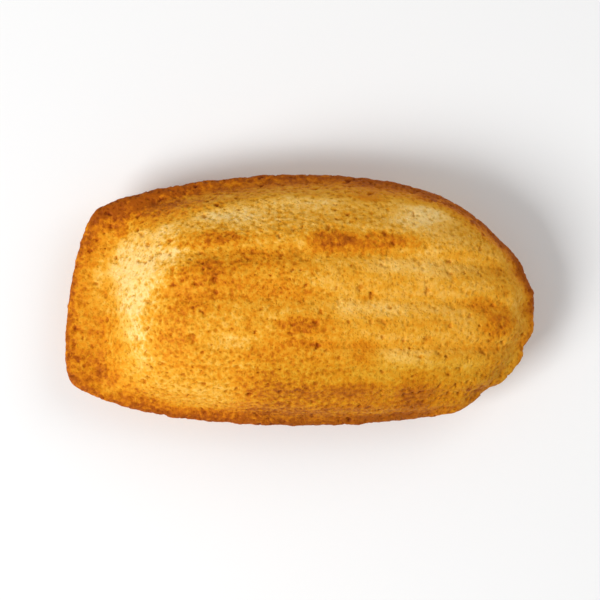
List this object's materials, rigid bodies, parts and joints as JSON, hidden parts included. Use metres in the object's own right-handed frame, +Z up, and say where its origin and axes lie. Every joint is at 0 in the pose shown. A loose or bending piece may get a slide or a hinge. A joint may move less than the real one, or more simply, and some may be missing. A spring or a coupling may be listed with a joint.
{
  "type": "madeleine cake",
  "caption": "Small shell-shaped sponge cake: an elongated ribbed crown with a blunt narrow end, a scalloped wide end, a thin rim and a domed back.",
  "frame": {"origin": "middle of the cake's bounding box, on the surface that it lies on", "axes": "+X from the blunt hinge end to the scalloped fan end, +Y across, +Z up out of the ribbed side"},
  "size_m": [0.0818, 0.044, 0.0245],
  "materials": {
    "crust": "dry golden sponge crust, fine open crumb, browner at the rim"
  },
  "bodies": {
    "root": {"madeleine": "crust"}
  },
  "joints": []
}
